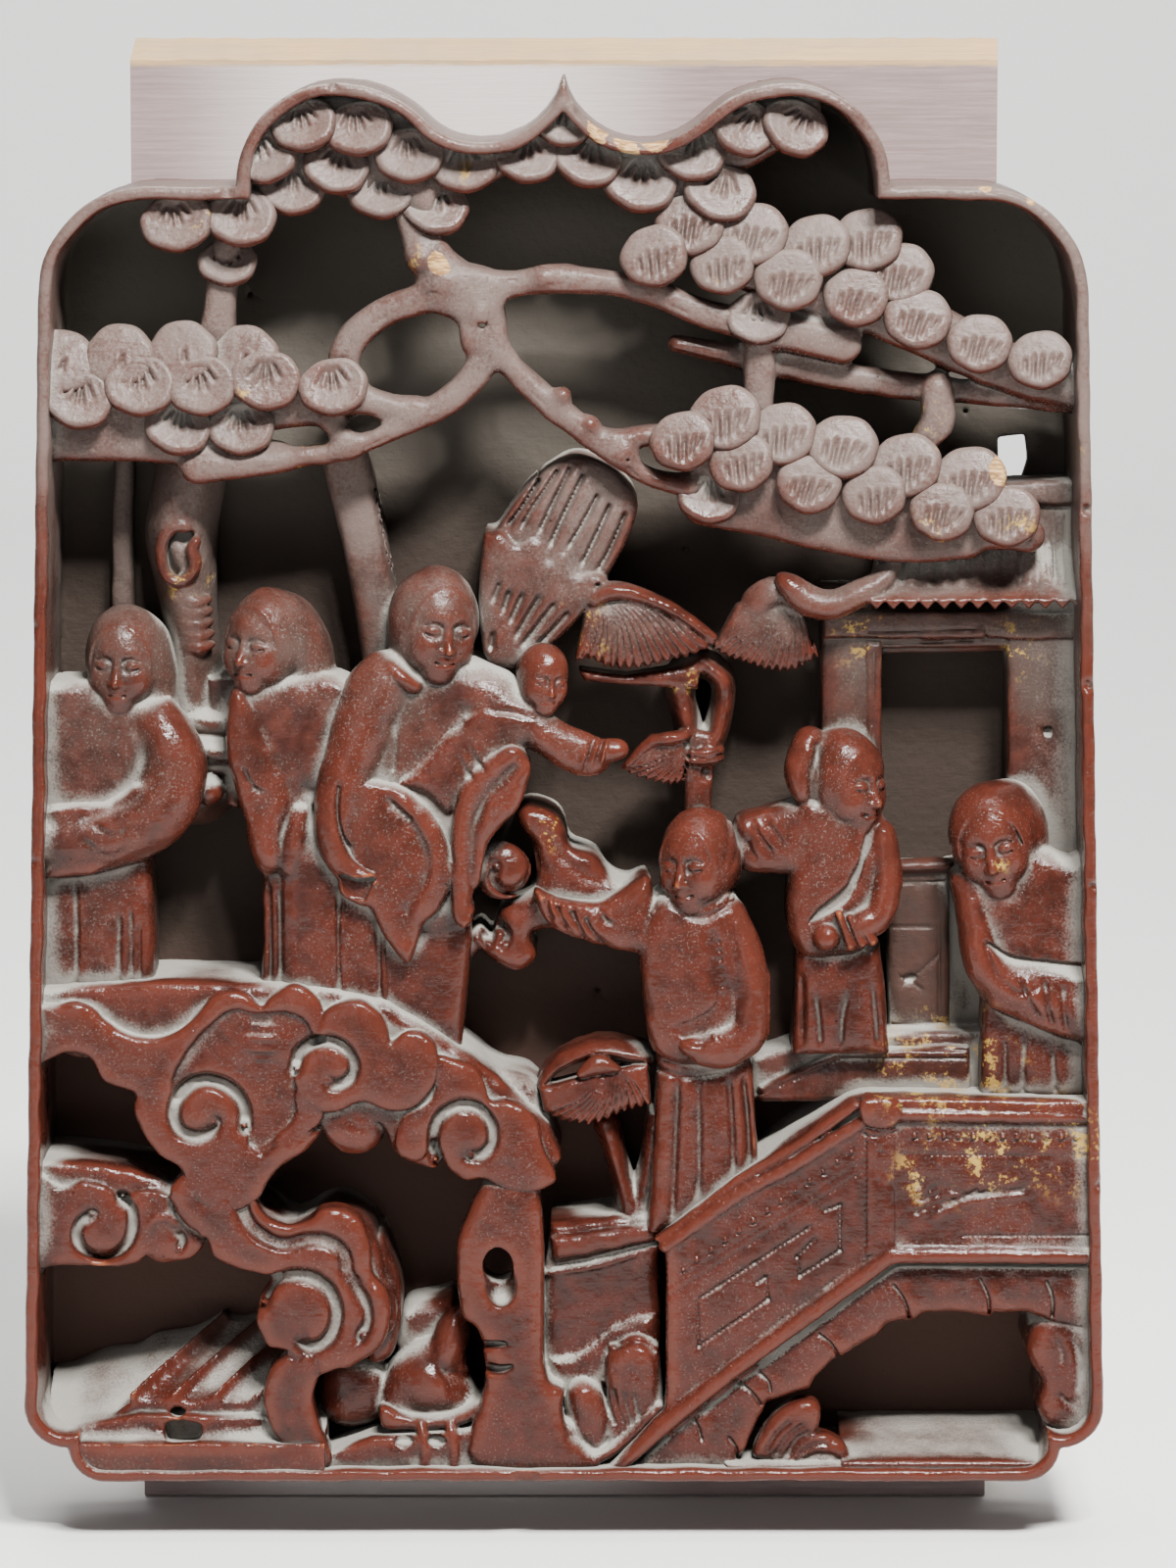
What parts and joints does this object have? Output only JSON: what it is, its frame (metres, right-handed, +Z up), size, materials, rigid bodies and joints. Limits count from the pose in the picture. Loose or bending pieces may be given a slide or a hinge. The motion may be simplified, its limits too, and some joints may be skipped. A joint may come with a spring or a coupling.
{
  "type": "carved wood relief panel",
  "caption": "Deep-carved lacquered wood relief panel of figures, pines, clouds and a bridge in a lobed rim, on a plank to hang on a wall.",
  "frame": {"origin": "on the flat back of the back board, on the panel's centre line, 13 mm above the middle of the board's back", "axes": "+X to the viewer's right, +Z up, +Y into the wall; the carving faces -Y"},
  "size_m": [0.32, 0.0803, 0.442],
  "materials": {
    "lacquered_wood": "worn reddish-brown lacquer, glossy on the edges, with pale dust on the ledges and traces of gilding",
    "board_wood": "dull brown-purple lacquer on the face, raw ochre wood on the sawn edges"
  },
  "bodies": {
    "root": {"carved_panel": "lacquered_wood", "back_board": "board_wood"}
  },
  "joints": []
}
